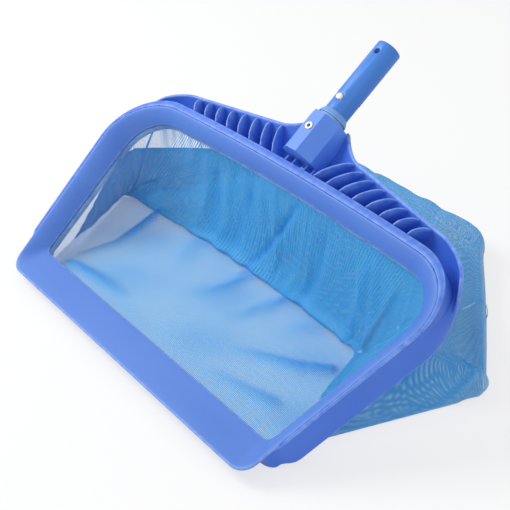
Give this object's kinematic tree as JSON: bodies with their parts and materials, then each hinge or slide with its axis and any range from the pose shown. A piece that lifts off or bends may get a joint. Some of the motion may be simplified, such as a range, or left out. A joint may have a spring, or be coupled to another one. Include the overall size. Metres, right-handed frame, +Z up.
{
  "type": "leaf skimmer net",
  "caption": "Pool leaf rake: a wide moulded mouth with a lead-in lip, a ribbed brace and a pole spigot with a spring clip, holding a deep fine-mesh bag.",
  "frame": {"origin": "middle of the bounding box on the ground that the foot of the frame and the bag lie on", "axes": "+X across the mouth, to the right seen from the lip; +Y level, from the lip toward the pole; +Z straight up as the rake lies on the ground, with its mouth leaning back 30 degrees from level"},
  "size_m": [0.5156, 0.435, 0.2446],
  "materials": {
    "frame_blue": "moulded, satin",
    "pipe_blue": "moulded, satin",
    "collar_grey": "moulded",
    "rivet_metal": "rolled, plain",
    "clip_white": "moulded nylon",
    "net_blue": "woven fine mesh",
    "hem_pale": "woven tape"
  },
  "bodies": {
    "rake": {"mouth_bezel": "frame_blue", "frame_shell": "frame_blue", "brace_right": "frame_blue", "brace_left": "frame_blue", "hub_housing": "frame_blue", "handle_tube": "pipe_blue", "spigot_collar": "collar_grey", "hub_rivet": "rivet_metal", "clip_bow": "clip_white", "net_hem": "hem_pale", "net_front": "net_blue", "net_right": "net_blue", "net_back": "net_blue", "net_left": "net_blue", "net_floor": "net_blue", "seam_tape_front_right": "hem_pale", "seam_tape_back_right": "hem_pale", "seam_tape_back_left": "hem_pale", "seam_tape_front_left": "hem_pale"},
    "upper_snap": {"clip_arm_upper": "clip_white", "button_upper": "clip_white"},
    "lower_snap": {"clip_arm_lower": "clip_white", "button_lower": "clip_white"}
  },
  "joints": [
    {"name": "upper_snap_press", "type": "hinge", "parent": "rake", "child": "upper_snap", "pos_m": [0, 0.11631, 0.22119], "axis": [1, 0, 0], "range_deg": [0, 6.4], "stiffness_Nm_per_rad": 4, "springref_deg": -2.86},
    {"name": "lower_snap_press", "type": "hinge", "parent": "rake", "child": "lower_snap", "pos_m": [0, 0.12351, 0.21109], "axis": [-1, 0, 0], "range_deg": [0, 6.4], "stiffness_Nm_per_rad": 4, "springref_deg": -2.86}
  ]
}
